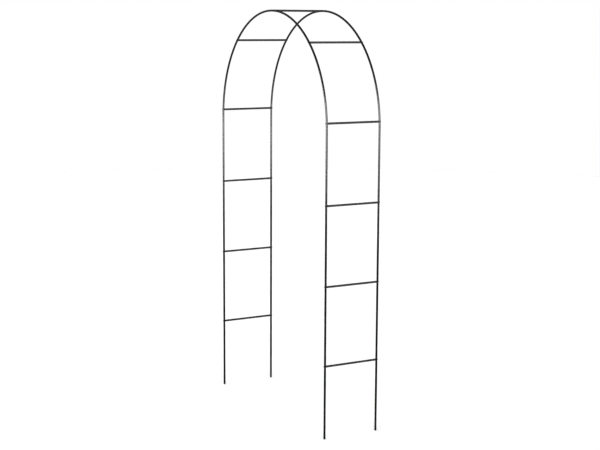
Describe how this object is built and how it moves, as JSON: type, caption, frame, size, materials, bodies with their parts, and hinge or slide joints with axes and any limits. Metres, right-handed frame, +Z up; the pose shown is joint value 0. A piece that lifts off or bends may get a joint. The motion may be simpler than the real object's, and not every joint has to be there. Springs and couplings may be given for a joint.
{
  "type": "trellis arch",
  "caption": "Tall garden arch for climbing plants: parallel round-top hoops of thin steel tube, plugged together from tubes and joined by straight screwed rungs.",
  "frame": {"origin": "on the ground, under the middle of the arch", "axes": "+Z up, X across the passage from the left leg to the right leg, Y along the passage from the front hoop to the rear hoop"},
  "size_m": [1.4, 0.3844, 2.59],
  "materials": {
    "powder_coat": "semi-gloss black powder coat",
    "plug_plastic": "satin black moulded polyethylene",
    "zinc_steel": "bright zinc plating",
    "black_screw": "black zinc plating"
  },
  "bodies": {
    "root": {"crown_rung": "powder_coat", "front_left_arch_quarter": "powder_coat", "front_left_foot_plug": "plug_plastic", "front_left_lower_leg": "powder_coat", "front_left_upper_leg": "powder_coat", "front_right_arch_quarter": "powder_coat", "front_right_foot_plug": "plug_plastic", "front_right_lower_leg": "powder_coat", "front_right_upper_leg": "powder_coat", "front_rung_inserts": "zinc_steel", "front_rung_screws": "black_screw", "left_rung_1": "powder_coat", "left_rung_2": "powder_coat", "left_rung_3": "powder_coat", "left_rung_4": "powder_coat", "left_rung_5": "powder_coat", "rear_left_arch_quarter": "powder_coat", "rear_left_foot_plug": "plug_plastic", "rear_left_lower_leg": "powder_coat", "rear_left_upper_leg": "powder_coat", "rear_right_arch_quarter": "powder_coat", "rear_right_foot_plug": "plug_plastic", "rear_right_lower_leg": "powder_coat", "rear_right_upper_leg": "powder_coat", "rear_rung_inserts": "zinc_steel", "rear_rung_screws": "black_screw", "right_rung_1": "powder_coat", "right_rung_2": "powder_coat", "right_rung_3": "powder_coat", "right_rung_4": "powder_coat", "right_rung_5": "powder_coat"}
  },
  "joints": []
}
